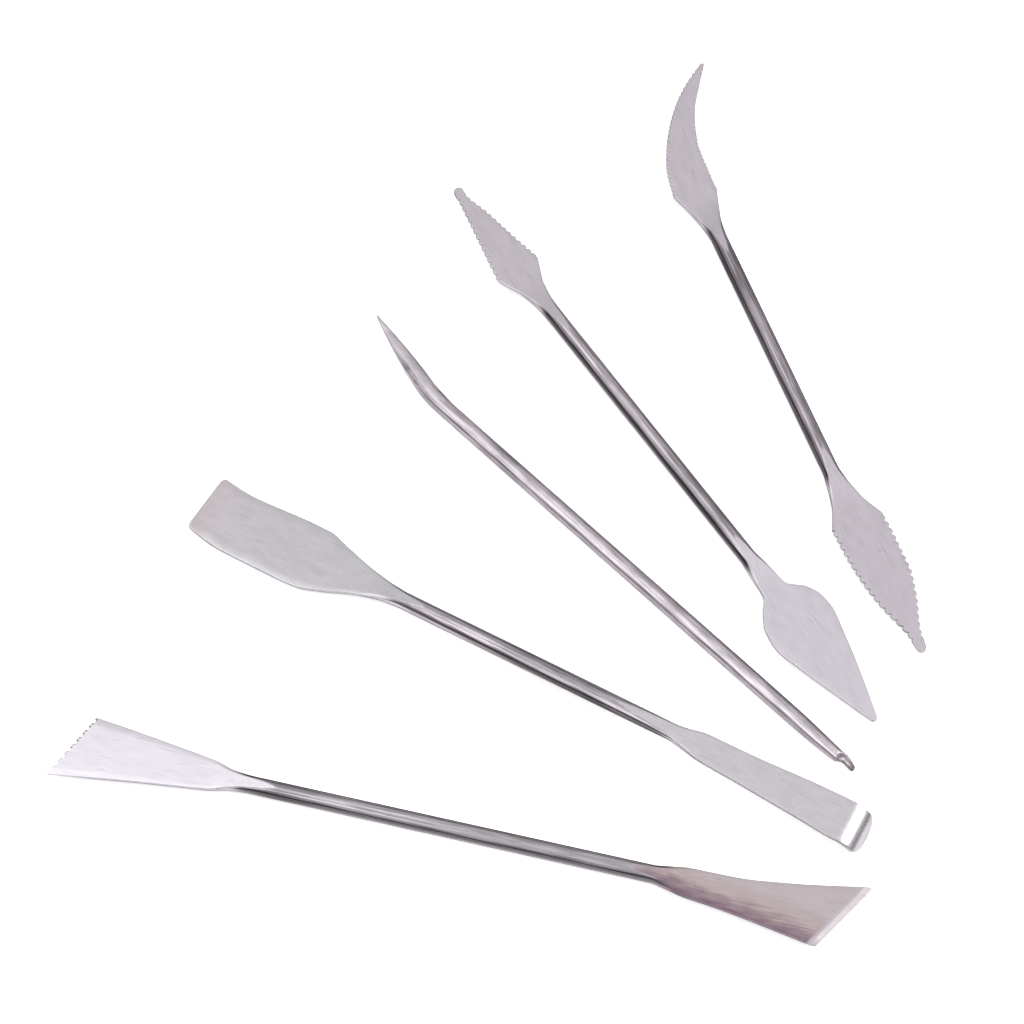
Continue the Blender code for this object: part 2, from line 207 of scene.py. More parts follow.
DIAMOND = Blade((
    (0, -2.1, 0, 2.1),
    (5.0, -2.15, 5.0, 2.15),
    (10.0, -3.05, 10.0, 2.95),
    (14.0, -4.7, 14.2, 4.6),
    (17.0, -5.9, 17.5, 6.0, CORNER),
    (25.0, -4.3, 25.0, 4.7),
    (35.0, -2.3, 35.0, 3.15),
    (42.6, -0.85, 42.6, 1.65),
    (43.8, -0.7, 43.8, 1.8),
), 45.0, 11.9, corner=1.2, inset=1.2, teeth=14, depth=SAW_DEPTH, toothed=(0.39, 0.95))

TROWEL = Blade((
    (0, -2.1, 0, 2.1),
    (4.0, -2.45, 4.0, 2.55),
    (10.3, -3.1, 10.2, 3.1),
    (14.0, -5.85, 14.0, 6.7),
    (18.0, -8.0, 17.5, 8.2),
    (22.4, -8.6, 20.4, 8.4),
    (29.0, -7.2, 29.0, 6.4),
    (39.0, -4.25, 39.0, 3.4),
    (48.1, -1.6, 48.1, 0.3),
), 49.0, 16.8, corner=0.9, inset=0.9)

SICKLE = Blade((
    (0, -2.1, 0, 2.1),
    (5.0, -2.65, 5.0, 2.5),
    (9.5, -3.75, 9.2, 3.5),
    (15.4, -5.9, 14.2, 4.95, CORNER),
    (22.0, -4.95, 19.5, 5.15),
    (29.0, -2.5, 26.5, 5.5),
    (36.0, 1.2, 33.0, 7.0),
    (42.0, 5.5, 39.0, 9.3),
    (47.0, 10.4, 45.2, 13.0),
    (50.7, 15.2, 50.1, 16.0),
), 51.2, 21.9, corner=0.5, inset=0.5, teeth=27, depth=SICKLE_SAW_DEPTH, toothed=(0.3, 0.96))

LEAF = Blade((
    (0, -2.1, 0, 2.1),
    (4.0, -2.5, 4.0, 2.6),
    (9.0, -3.4, 9.0, 3.9),
    (15.2, -5.9, 15.0, 6.8, CORNER),
    (20.0, -5.8, 20.0, 7.1),
    (29.0, -4.95, 29.0, 7.1),
    (36.0, -3.5, 36.0, 5.85),
    (46.5, -0.3, 46.5, 2.65),
    (49.2, 0.0, 49.2, 2.3),
), 50.4, 13.0, corner=1.2, inset=1.2, teeth=17, depth=SAW_DEPTH, toothed=(0.31, 0.95))


class Bend(NamedTuple):
    """A bend near one end of a tool: how far from that end it starts, its radius and its way."""
    at_left: bool
    reach: float
    radius: float
    rising: bool


class Tool(NamedTuple):
    """One tool: its CAD node, length, turn on the table, two blades and bends."""
    node: str
    slot: str
    length: float
    turn: float                             # degrees from the X axis
    left: Blade
    right: Blade
    bends: tuple = ()


HOOK = Bend(at_left=False, reach=HOOK_REACH, radius=HOOK_RADIUS, rising=False)
CURL = Bend(at_left=True, reach=CURL_REACH, radius=CURL_RADIUS, rising=True)
SCOOP_BEND = Bend(at_left=False, reach=SCOOP_BEND_REACH, radius=SCOOP_BEND_RADIUS, rising=False)

TOOLS = (
    Tool("fan_and_flare_tool", "polished_steel", 180.1, -13.3, FAN, FLARE),
    Tool("paddle_and_hook_tool", "brushed_steel", 170.0, -28.8, PADDLE, STRIP, (HOOK, CURL)),
    Tool("point_and_scoop_tool", "drawn_steel", 158.4, -45.3, POINT, SCOOP, (SCOOP_BEND,)),
    Tool("diamond_and_trowel_tool", "ground_steel", 170.2, -56.1, DIAMOND, TROWEL),
    Tool("sickle_and_leaf_tool", "ground_steel", 168.9, -69.9, SICKLE, LEAF),
)


def ease(share):
    """Go from 0 to 1 with a level start and end."""
    share = min(max(share, 0.0), 1.0)
    return share * share * (3 - 2 * share)


# ---- Outlines and cross sections ----------------------------------------------------------------

def scaled_outline(blade):
    """Give the outline's (low, high, is corner) points at the blade's real length and width."""
    drawn_length = max(max(cut[0], cut[2]) for cut in blade.cuts)
    drawn_width = max(cut[3] for cut in blade.cuts) - min(cut[1] for cut in blade.cuts)
    stretch = (blade.length - blade.corner - EDGE_ROUNDING) / drawn_length
    spread = blade.width / drawn_width
    outline = [(Vector((0, -ROD_RADIUS)), Vector((0, ROD_RADIUS)), False)]
    for cut in blade.cuts[1:]:
        low = Vector((cut[0] * stretch, cut[1] * spread))
        high = Vector((cut[2] * stretch, cut[3] * spread))
        outline.append((low, high, CORNER in cut))
    return outline


def slopes(shares, points, corners):
    """Slope of a smooth curve before and after each point, level at its peaks and at the rod."""
    chords = []
    for i in range(len(points) - 1):
        chords.append((points[i + 1] - points[i]) / (shares[i + 1] - shares[i]))
    before = [chords[0]] + chords
    after = chords + [chords[-1]]
    result = []
    for i, corner in enumerate(corners):
        if corner or i in (0, len(points) - 1):
            result.append((before[i], after[i]))
            continue
        pair = zip(before[i], after[i])
        slope = Vector([2 * a * b / (a + b) if a * b > 0 else 0.0 for a, b in pair])
        result.append((slope, slope))
    result[0] = (result[0][0], Vector((chords[0].x, 0.0)))
    return result


def edge_curve(shares, points, corners):
    """Make a function that gives an edge's point at any share of the outline."""
    tangents = slopes(shares, points, corners)

    def point_at(share):
        i = max(k for k in range(len(shares) - 1) if shares[k] <= share or k == 0)
        span = shares[i + 1] - shares[i]
        t = (share - shares[i]) / span
        start = tangents[i][1] * span
        end = tangents[i + 1][0] * span
        rise = t * t * (3 - 2 * t)
        bow = t * (1 - t)
        return points[i].lerp(points[i + 1], rise) + start * bow * (1 - t) - end * bow * t

    return point_at


def cut_shares(blade, shares, run):
    """Choose where the outline is cut: at its drawn points, its teeth, its bend and between."""
    first, last = blade.toothed if blade.teeth else (1.0, 1.0)
    wanted = [share for share in shares if share <= first or share >= last]
    steps = math.ceil(run / CUT_SPACING)
    wanted += [k / steps for k in range(steps + 1) if not first < k / steps < last]
    for tooth in range(blade.teeth):
        wanted += [first + (last - first) * (tooth + part) / blade.teeth for part in TOOTH_CUTS]
    fine = blade.bent + blade.ground
    wanted += [1 - k * BEND_SPACING / run for k in range(math.ceil(fine / BEND_SPACING))]
    chosen = [0.0]
    for share in sorted(wanted):
        if share - chosen[-1] > LEAST_SPACING / run:
            chosen.append(share)
    chosen[-1] = 1.0
    return chosen


def notch_depth(blade, share):
    """Depth that the saw teeth take off both edges at a share of the outline."""
    first, last = blade.toothed
    if not blade.teeth or not first < share < last:
        return 0.0
    place = (share - first) / (last - first) * blade.teeth
    return blade.depth * (1 - abs(math.sin(math.pi * place))) ** NOTCH_CURVE


def bevel_share(blade, share, run):
    """How far down a ground bevel a cut is: 0 above it and 1 at the blade's end."""
    if not blade.ground:
        return 0.0
    return max(0.0, 1 - (1 - share) * run / blade.ground)


def blade_sections(blade):
    """Cross sections of a blade, from the rod to the end, with +X pointing along the blade."""
    outline = scaled_outline(blade)
    along = [(low.x + high.x) / 2 for low, high, corner in outline]
    run = along[-1]
    shares = [value / run for value in along]
    corners = [corner for low, high, corner in outline]
    low_edge = edge_curve(shares, [low for low, high, corner in outline], corners)
    high_edge = edge_curve(shares, [high for low, high, corner in outline], corners)

    def section(low, high, bevelled):
        half_width = (high - low).length / 2
        middle = (low.x + high.x) / 2
        flat = ease((middle - blade.neck_start) / blade.neck)
        thick = min(ROD_RADIUS, half_width)
        half = thick + (blade.thickness / 2 - thick) * flat
        half = min(half, max(half_width, blade.thickness / 2))
        side = min(half_width, thick + (half - thick) * flat)
        half *= 1 - BEVEL_LOSS * bevelled
        square = ease((flat - SQUARE_FROM) / (1 - SQUARE_FROM)) * (1 - blade.oval)
        dish = blade.dish * flat
        return Section(low, high, half, max(side, half), flat, square, blade.oval, dish)

    sections = []
    if blade.neck_start < 0:
        for step in range(math.ceil(-blade.neck_start / CUT_SPACING)):
            root = Vector((blade.neck_start + step * CUT_SPACING, 0))
            reach = Vector((0, ROD_RADIUS))
            sections.append(section(root - reach, root + reach, 0.0))
    for share in cut_shares(blade, shares, run):
        low = low_edge(share)
        high = high_edge(share)
        inward = (high - low).normalized() * notch_depth(blade, share)
        sections.append(section(low + inward, high - inward, bevel_share(blade, share, run)))
    if blade.corner:
        sections += rounded_end(sections[-1], blade)
    return sections + rounded_edge(sections[-1])


def narrowed(section, ahead, inset, thinner):
    """Copy a section further along, narrower at both edges and thinner."""
    across = (section.high - section.low).normalized()
    forward = Vector((across.y, -across.x)) * ahead
    inset = min(inset, (section.high - section.low).length / 2 - LEAST_HALF_WIDTH)
    half = max(section.half - thinner, LEAST_HALF_THICKNESS)
    return section._replace(low=section.low + forward + across * inset,
                            high=section.high + forward - across * inset,
                            half=half, side=max(half, section.side - thinner))


def rounded_end(last, blade):
    """Sections that round a blade's end off, in a curve at each corner or in one half round."""
    sections = []
    for turn in END_TURNS:
        angle = math.radians(turn)
        sections.append(narrowed(last, blade.corner * math.sin(angle),
                                 blade.inset * (1 - math.cos(angle)), 0.0))
    return sections


def rounded_edge(last):
    """Sections that break the sharp edge around a blade's end."""
    rounding = min(EDGE_ROUNDING, last.half * ROUNDED_END)
    sections = []
    for turn in EDGE_TURNS:
        angle = math.radians(turn)
        fall = rounding * (1 - math.cos(angle))
        sections.append(narrowed(last, rounding * math.sin(angle), fall, fall))
    return sections


def ring_points(section):
    """Points of a cross section, from its high side's foot, as (across, up, ground).

    Across is counted from the middle. Ground is 0 where the drawn rod's skin is left, and 1 on a
    face that was ground flat, so that a blade's face runs out on the rod in a pointed tongue.
    """
    width = (section.high - section.low).length / 2
    side = min(section.side, width)
    half = min(section.half, side)
    rounding = min(EDGE_ROUNDING, half * ROUNDED_HALF, width * ROUNDED_HALF)
    lift = math.asin(min(half / side, math.sin(math.pi / 2 - ROD_FLAT_ANGLE)))
    flat_end = width - side + side * math.cos(lift)
    points = []
    for step in range(ARC_STEPS + 1):
        share = 2 * step / ARC_STEPS - 1
        turned = share * lift
        full = share * math.pi / 2
        round_x = width - side + side * math.cos(turned)
        round_y = side * math.sin(turned)
        square_x = width - rounding + rounding * math.cos(full)
        square_y = math.copysign(half - rounding, share) + rounding * math.sin(full)
        if step == ARC_STEPS / 2:           # halfway up the side, between its two roundings
            square_y = 0.0
        # A rim keeps some of the rod's skin, and with it the rod's painted shade and highlight.
        rim = 1 - RIM_SKIN_AND_PAINTED_LIGHT * section.square * ease((1 - abs(share)) / RIM_SPREAD)
        points.append((round_x + (square_x - round_x) * section.square,
                       round_y + (square_y - round_y) * section.square,
                       ease((section.flat - GROUND_FROM) / GROUND_SPAN) * rim))
    flat_end += (width - rounding - flat_end) * section.square
    for step in range(1, FLAT_STEPS):
        x = flat_end * (1 - 2 * step / FLAT_STEPS)
        beyond = max(0.0, abs(x) - (width - side))
        arc = math.sqrt(max(0.0, side * side - beyond * beyond))
        y = min(half, arc)
        ground = max(ease((arc - half) / TONGUE_EDGE), points[ARC_STEPS][2])
        points.append((x, y + (half - y) * section.square, ground))
    points += [(-x, -y, ground) for x, y, ground in points]
    return blend_oval(points, width, half, section.oval)


def blend_oval(points, width, half, oval):
    """Move the points of a cross section towards an oval of the same width and thickness."""
    if not oval:
        return points
    count = len(points)
    start = -(math.pi / 2 - ROD_FLAT_ANGLE)
    blended = []
    for i, (x, y, ground) in enumerate(points):
        angle = start + math.tau * i / count
        blended.append((x + (width * math.cos(angle) - x) * oval,
                        y + (half * math.sin(angle) - y) * oval, ground))
    return blended


# ---- Forging a tool ------------------------------------------------------------------------------

def rod_sections(left_end, right_end):
    """Cross sections of the plain rod between two necks."""
    steps = math.ceil((right_end - left_end) / ROD_SPACING)
    reach = Vector((0, ROD_RADIUS))
    sections = []
    for step in range(1, steps):
        middle = Vector((left_end + (right_end - left_end) * step / steps, 0))
        sections.append(Section(middle - reach, middle + reach, ROD_RADIUS, ROD_RADIUS,
                                flat=0.0, square=0.0, oval=0.0))
    return sections


def tool_sections(tool):
    """All cross sections of a tool, from its left end to its right end, in its own frame."""
    left_root = tool.left.length - tool.length / 2
    right_root = tool.length / 2 - tool.right.length
    sections = []
    for section in reversed(blade_sections(tool.left)):
        low = Vector((left_root - section.low.x, section.low.y))
        high = Vector((left_root - section.high.x, section.high.y))
        sections.append(section._replace(low=low, high=high))
    neck_end = right_root + min(tool.right.neck_start, 0.0)
    sections += rod_sections(sections[-1].low.x, neck_end)
    shift = Vector((right_root, 0))
    for section in blade_sections(tool.right):
        sections.append(section._replace(low=section.low + shift, high=section.high + shift))
    return sections


def place_ring(ring, side_number, ground_share, section):
    """Move a ring's vertices onto a cross section, and note where it is ground."""
    points = ring_points(section)
    low = section.low.to_3d()
    high = section.high.to_3d()
    across = (high - low).normalized()
    middle = (low + high) / 2
    reach = (high - low).length / 2
    for vert in ring:
        offset, up, vert[ground_share] = points[vert[side_number]]
        up += section.dish * (offset / reach) ** 2
        vert.co = middle + across * offset + Vector((0, 0, up))


def draw_out(tool):
    """Extrude a ring along a tool's cross sections and close both its ends."""
    sections = tool_sections(tool)
    bm = bmesh.new()
    side_number = bm.verts.layers.int.new("side_number")
    ground_share = bm.verts.layers.float.new("ground")
    sides = 2 * (ARC_STEPS + FLAT_STEPS)
    ring = bmesh.ops.create_circle(bm, cap_ends=False, segments=sides, radius=ROD_RADIUS)["verts"]
    for number, vert in enumerate(ring):
        vert[side_number] = number
    place_ring(ring, side_number, ground_share, sections[0])
    edges = list(bm.edges)
    first_edges = edges
    for section in sections[1:]:
        drawn = bmesh.ops.extrude_edge_only(bm, edges=edges)["geom"]
        ring = [item for item in drawn if isinstance(item, bmesh.types.BMVert)]
        edges = [item for item in drawn if isinstance(item, bmesh.types.BMEdge)]
        edges = [edge for edge in edges if edge.is_boundary]
        place_ring(ring, side_number, ground_share, section)
    bmesh.ops.contextual_create(bm, geom=first_edges)
    bmesh.ops.contextual_create(bm, geom=edges)
    bmesh.ops.recalc_face_normals(bm, faces=bm.faces)
    return bm


def bend_steel(bm, tool, bend):
    """Bend the steel beyond a start along X in an arc, down or rising."""
    side = -1 if bend.at_left else 1
    start = side * (tool.length / 2 - bend.reach)
    lift = 1 if bend.rising else -1
    for vert in bm.verts:
        beyond = (vert.co.x - start) * side
        if beyond <= 0:
            continue
        angle = beyond / bend.radius
        arm = bend.radius - lift * vert.co.z
        vert.co.x = start + side * arm * math.sin(angle)
        vert.co.z = lift * (bend.radius - arm * math.cos(angle))


def resting_tilt(bm, tool):
    """Angle at which a tool with a hook rests on the hook's tip and the far end of its rod."""
    tip = min((vert.co for vert in bm.verts if vert.co.x > 0), key=lambda co: co.z)
    if tip.z > -ROD_RADIUS - RESTING_GAP:
        return 0.0
    rod_end = tool.left.length + NECK_LEAD - tool.length / 2
    return math.atan2(tip.z + ROD_RADIUS, tip.x - rod_end)


def box_middle(low, high):
    """Middle of a box, at the table's height."""
    return Vector(((low.x + high.x) / 2, (low.y + high.y) / 2, 0))


def lay_down(bm, tool):
    """Turn a forged tool and lay it where its CAD node lies, in metres; return its own frame."""
    tilt = resting_tilt(bm, tool)
    turned = Matrix.Rotation(math.radians(tool.turn), 4, "Z") @ Matrix.Rotation(tilt, 4, "Y")
    bmesh.ops.transform(bm, matrix=turned @ Matrix.Scale(MM, 4), verts=bm.verts)
    low = Vector([min(vert.co[axis] for vert in bm.verts) for axis in range(3)])
    high = Vector([max(vert.co[axis] for vert in bm.verts) for axis in range(3)])
    shift = box_middle(*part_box(tool.node)) - box_middle(low, high) - Vector((0, 0, low.z))
    bmesh.ops.translate(bm, vec=shift, verts=bm.verts)
    return shift


def make_piece(name, bm, material):
    """Turn a finished mesh into a smooth-shaded piece at the origin."""
    mesh = bpy.data.meshes.new(name)
    bm.to_mesh(mesh)
    bm.free()
    mesh.shade_smooth()
    mesh.set_sharp_from_angle(angle=SHARP_ANGLE)
    mesh.materials.append(material)
    piece = bpy.data.objects.new(name, mesh)
    bpy.context.scene.collection.objects.link(piece)
    return piece


# ---- Materials -----------------------------------------------------------------------------------

def linear(hex_colour):
    """Turn an sRGB hex colour into a linear RGBA tuple."""
    values = [int(hex_colour[i:i + 2], 16) / 255 for i in (1, 3, 5)]
    return (*(v / 12.92 if v <= 0.04045 else ((v + 0.055) / 1.055) ** 2.4 for v in values), 1.0)


def add(tree, kind, inputs=(), **settings):
    """Add a shader node, set its settings, and link or set its inputs; return its outputs.

    Inputs are in the node's own order, or keyed by socket. A hex colour is turned to linear.
    """
    node = tree.nodes.new("ShaderNode" + kind)
    for name, value in settings.items():
        setattr(node, name, value)
    if not isinstance(inputs, dict):
        inputs = dict(enumerate(inputs))
    for key, value in inputs.items():
        if isinstance(value, bpy.types.NodeSocket):
            tree.links.new(value, node.inputs[key])
        elif isinstance(value, str):
            node.inputs[key].default_value = linear(value)
        else:
            node.inputs[key].default_value = value
    return node.outputs


# The Mix node's colour sockets share their names with others, so they go by number.
SHARE, FIRST, SECOND, MIXED = 0, 6, 7, 2


class Finish(NamedTuple):
    """How a tool's steel was left: its colours, its roughness, the marks in its skin and the
    painted shade on its rod.
    """
    left: str                               # colour of the left blade
    rod: str
    right: str
    blade_roughness: float
    rod_roughness: float
    streaks: float                          # contrast of the rod's long drawing marks
    mottles: float                          # contrast of the cloudy patches
    low_flank_shade: float                        # how much painted shade darkens the rod along its low side
    high_flank_shade: float                       # and along its high side
    patch: tuple                            # start and end of a darker stretch of skin
    patch_depth: float                      # how much darker that stretch is


FINISHES = {
    "fan_and_flare_tool": Finish(
        left="#E0DCE2", rod="#CCC6CB", right="#D0C8CB", blade_roughness=0.22, rod_roughness=0.08,
        streaks=0.3, mottles=0.03, low_flank_shade=0.7, high_flank_shade=0.8,
        patch=(-44.0, -33.0), patch_depth=0.35),
    "paddle_and_hook_tool": Finish(
        left="#D0CED1", rod="#C8C1C6", right="#D6D2D6", blade_roughness=0.24, rod_roughness=0.13,
        streaks=0.38, mottles=0.05, low_flank_shade=0.68, high_flank_shade=0.5,
        patch=(-6.0, 20.0), patch_depth=0.3),
    "point_and_scoop_tool": Finish(
        left="#DFD8DE", rod="#E0D8DE", right="#A9A1A7", blade_roughness=0.3, rod_roughness=0.27,
        streaks=0.34, mottles=0.14, low_flank_shade=0.3, high_flank_shade=0.45,
        patch=(-34.0, -22.0), patch_depth=0.2),
    "diamond_and_trowel_tool": Finish(
        left="#D3CDD2", rod="#CCC4CA", right="#DED8DF", blade_roughness=0.24, rod_roughness=0.13,
        streaks=0.36, mottles=0.04, low_flank_shade=0.84, high_flank_shade=0.45,
        patch=(5.0, 32.0), patch_depth=0.2),
    "sickle_and_leaf_tool": Finish(
        left="#D5CED5", rod="#C4BCC2", right="#D3CCD3", blade_roughness=0.24, rod_roughness=0.17,
        streaks=0.4, mottles=0.04, low_flank_shade=0.75, high_flank_shade=0.6,
        patch=(-30.0, -14.0), patch_depth=0.35),
}

# Marks in the steel, as (length, width) in millimetres. A polishing grain is finer than 0.1 mm,
# too fine to show, so it is drawn 0.22 mm wide.
DRAWING_MARKS = (9.0, 0.45)
CLOUDS = (4.5, 1.8)
GRAIN = (5.0, 0.22)
SCRATCHES = (7.0, 0.3)

# How strongly the marks show: the values of their noise between which a tone changes, and tones.
STREAK_BAND = (0.36, 0.6)
SCRATCH_BAND = (0.66, 0.72)
FULL_BAND = (0.3, 0.7)                      # nearly all of a noise's range
SCRATCH_SHADE = 0.87
GRAIN_GLOSS = (-0.02, 0.04)                 # what the grain adds to the roughness

# Relief of the marks, in millimetres.
WAVE_HEIGHT = 0.01
DRAWING_MARK_HEIGHT = 0.008
GRAIN_HEIGHT = 0.0015
WORN_RELIEF = 0.3                           # share of the drawing marks' relief left by grinding

# Painted reflections on the rod, dark and bright, by the turn about the tool's axis: 0 is up, and
# the low side is negative.
LOW_SHADE_TURNS = (math.radians(-70.27), math.radians(-35.42))
LOW_SHADE_BLUR = math.radians(9.74)
LOW_HIGHLIGHT_TURNS = (math.radians(-81.73), math.radians(-70.27))
LOW_EDGE_HIGHLIGHT = 1.3                        # painted highlight: how much brighter the rod is below its low flank
HIGH_SHADE_TURNS = (math.radians(38.86), math.radians(56.05))
PAINTED_BORDER_WANDER = math.radians(17.19)          # how far the marks shift the borders of the painted shade and highlight
PATCH_BLUR = 5.0                            # millimetres
GLANCING_TINT = "#9E999E"                   # tints reflections at a glancing angle

# Oxide colours and their heights above the flare's falling low edge, in millimetres.
HEAT_STRAW = "#C2B0AE"
HEAT_PURPLE = "#80667A"
STRAW_FADE = (4.0, 12.0)
STRAW_SHARES = (0.9, 0.25)                  # below the fade and above it
PURPLE_FADE = (2.0, 7.0)
PURPLE_SHARES = (0.9, 0.0)
EDGE_RUN = 0.8                              # share of the flare's length that its low edge falls
HEAT_CLOUDS = 4.0                           # how far the clouds shift those heights
HEAT_STREAKS = 5.0                          # how far the drawing marks do
HEAT_NECK = (-8.0, 2.0)                     # where the tint starts, from the flare's root
HEAT_END = (-2.6, -1.6)                     # where it ends, from the middle of the slanted edge

# A warmer tone that handling left on the paddle, up to so many millimetres from its end.
HANDLED_BLUSH = "#D4C9CD"
HANDLED_SHARE = 0.75
HANDLED_REACH = (4.5, 14.0)
HANDLED_CLOUDS = 5.0                        # how far the clouds shift that reach


def tool_frame(tree, tool, centre):
    """Give the place on a tool in its own frame, in millimetres: X along it, Y across, Z up."""
    place = add(tree, "TexCoord")["Object"]
    return add(tree, "Mapping", {"Vector": place, "Location": centre, "Scale": (MM, MM, MM),
                                 "Rotation": (0, 0, math.radians(tool.turn))},
               vector_type="TEXTURE")[0]


def marks_of(tree, place, size, detail):
    """Noise whose marks are about so many millimetres long and wide."""
    length, width = size
    stretched = add(tree, "Mapping", {"Vector": place,
                                      "Scale": (1 / length, 1 / width, 1 / width)})[0]
    return add(tree, "TexNoise", {"Vector": stretched, "Scale": 1.0, "Detail": detail})["Fac"]


def darken(tree, shade, share, depth):
    """Lower a shade by up to a depth, as a share goes from 0 to 1."""
    kept = add(tree, "Math", (share, -depth, 1.0), operation="MULTIPLY_ADD")[0]
    return add(tree, "Math", (shade, kept), operation="MULTIPLY")[0]


def stretch_of(tree, value, start, end, soft):
    """1 between the start and end of a value, 0 beyond them, with soft ends."""
    begun = add(tree, "MapRange", (value, start - soft, start + soft),
                interpolation_type="SMOOTHSTEP")[0]
    over = add(tree, "MapRange", (value, end - soft, end + soft, 1.0, 0.0),
               interpolation_type="SMOOTHSTEP")[0]
    return add(tree, "Math", (begun, over), operation="MULTIPLY")[0]


def rod_skin_and_painted_light(tree, place, marks, finish):
    """Colour of the drawn rod: long streaks, painted shade on its flanks, a painted highlight on
    its low edge, a darker stretch.
    """
    axes = add(tree, "SeparateXYZ", (place,))
    turn = add(tree, "Math", (axes["Y"], axes["Z"]), operation="ARCTAN2")[0]
    turn = add(tree, "Math", (marks, PAINTED_BORDER_WANDER, turn), operation="MULTIPLY_ADD")[0]
    shade = add(tree, "MapRange", (marks, *STREAK_BAND, 1 - finish.streaks, 1.0),
                interpolation_type="SMOOTHSTEP")[0]
    # Painted shade: the low and high flanks are darkened where the rod mirrors dark surroundings.
    low = stretch_of(tree, turn, *LOW_SHADE_TURNS, LOW_SHADE_BLUR)
    high = add(tree, "MapRange", (turn, *HIGH_SHADE_TURNS), interpolation_type="SMOOTHSTEP")[0]
    # Painted highlight: the rod is brightened below its low flank.
    painted_highlight = add(tree, "MapRange", (turn, *LOW_HIGHLIGHT_TURNS, LOW_EDGE_HIGHLIGHT, 1.0),
                interpolation_type="SMOOTHSTEP")[0]
    shade = darken(tree, shade, low, finish.low_flank_shade)
    shade = add(tree, "Math", (shade, painted_highlight), operation="MULTIPLY")[0]
    shade = darken(tree, shade, high, finish.high_flank_shade)
    shade = darken(tree, shade, stretch_of(tree, axes["X"], *finish.patch, PATCH_BLUR),
                   finish.patch_depth)
    return add(tree, "VectorMath", {0: linear(finish.rod)[:3], "Scale": shade},
               operation="SCALE")[0]


def heat_share(tree, height, fade, shares, reach):
    """Share of an oxide colour, which changes over a range of heights, where the tint reaches."""
    share = add(tree, "MapRange", (height, *fade, *shares), interpolation_type="SMOOTHSTEP")[0]
    return add(tree, "Math", (share, reach), operation="MULTIPLY")[0]


def heat_tint(tree, colour, place, tool, clouds, marks):
    """Oxide colours that grinding heat left on the flare: straw, and purple at its low edge."""
    axes = add(tree, "SeparateXYZ", (place,))
    root = tool.length / 2 - tool.right.length
    beyond = add(tree, "Math", (axes["X"], root), operation="SUBTRACT")[0]

    # Height above the blade's falling low edge, made ragged by clouds and drawing marks.
    edge_fall = (tool.right.width / 2 - ROD_RADIUS) / (tool.right.length * EDGE_RUN)
    height = add(tree, "Math", (beyond, edge_fall, axes["Y"]), operation="MULTIPLY_ADD")[0]
    height = add(tree, "Math", (clouds, HEAT_CLOUDS, height), operation="MULTIPLY_ADD")[0]
    height = add(tree, "Math", (marks, HEAT_STREAKS, height), operation="MULTIPLY_ADD")[0]

    # The bevel was ground on the slanted end afterwards, through the tint.
    low_end = tool.right.cuts[-1][0]
    high_end = tool.right.cuts[-1][2]
    slant = (high_end - low_end) / tool.right.width
    middle = (low_end + high_end) / 2
    straight = add(tree, "Math", (axes["Y"], -slant, beyond), operation="MULTIPLY_ADD")[0]
    starts = add(tree, "MapRange", (beyond, *HEAT_NECK), interpolation_type="SMOOTHSTEP")[0]
    ends = add(tree, "MapRange", (straight, middle + HEAT_END[0], middle + HEAT_END[1], 1.0, 0.0),
               interpolation_type="SMOOTHSTEP")[0]
    reach = add(tree, "Math", (starts, ends), operation="MULTIPLY")[0]

    straw = heat_share(tree, height, STRAW_FADE, STRAW_SHARES, reach)
    purple = heat_share(tree, height, PURPLE_FADE, PURPLE_SHARES, reach)
    colour = add(tree, "Mix", {SHARE: straw, FIRST: colour, SECOND: HEAT_STRAW},
                 data_type="RGBA")[MIXED]
    return add(tree, "Mix", {SHARE: purple, FIRST: colour, SECOND: HEAT_PURPLE},
               data_type="RGBA")[MIXED]


def handled_tip(tree, colour, along, tool, clouds):
    """Warmer tone that handling left at the paddle's end."""
    left_end = -tool.length / 2
    reach = add(tree, "Math", (clouds, HANDLED_CLOUDS, along), operation="MULTIPLY_ADD")[0]
    tip = add(tree, "MapRange", (reach, left_end + HANDLED_REACH[0], left_end + HANDLED_REACH[1],
                                 HANDLED_SHARE, 0.0), interpolation_type="SMOOTHSTEP")[0]
    return add(tree, "Mix", {SHARE: tip, FIRST: colour, SECOND: HANDLED_BLUSH},
               data_type="RGBA")[MIXED]


def ground_blades(tree, place, tool, finish, clouds, marks):
    """Colour of the two ground blades, each its own, with faint scratches along them."""
    along = add(tree, "SeparateXYZ", (place,))["X"]
    is_right = add(tree, "Math", (along, 0.0), operation="GREATER_THAN")[0]
    colour = add(tree, "Mix", {SHARE: is_right, FIRST: finish.left, SECOND: finish.right},
                 data_type="RGBA")[MIXED]
    if tool.right is FLARE:
        colour = heat_tint(tree, colour, place, tool, clouds, marks)
    if tool.left is PADDLE:
        colour = handled_tip(tree, colour, along, tool, clouds)
    scratches = marks_of(tree, place, SCRATCHES, detail=1.0)
    scratched = add(tree, "MapRange", (scratches, *SCRATCH_BAND, 1.0, SCRATCH_SHADE),
                    interpolation_type="SMOOTHSTEP")[0]
    return add(tree, "VectorMath", {0: colour, "Scale": scratched}, operation="SCALE")[0]


def steel_relief(tree, ground, clouds, marks, grain):
    """Relief of the steel: hand-polished waves, drawing marks that grinding wore down, grain."""
    left_over = add(tree, "MapRange", (ground, 0.0, 1.0, 1.0, WORN_RELIEF),
                    interpolation_type="SMOOTHSTEP")[0]
    waves = add(tree, "Bump", {"Height": clouds, "Strength": 1.0,
                               "Distance": WAVE_HEIGHT * MM})[0]
    lines = add(tree, "Bump", {"Height": marks, "Strength": left_over,
                               "Distance": DRAWING_MARK_HEIGHT * MM, "Normal": waves})[0]
    return add(tree, "Bump", {"Height": grain, "Strength": 1.0,
                              "Distance": GRAIN_HEIGHT * MM, "Normal": lines})[0]


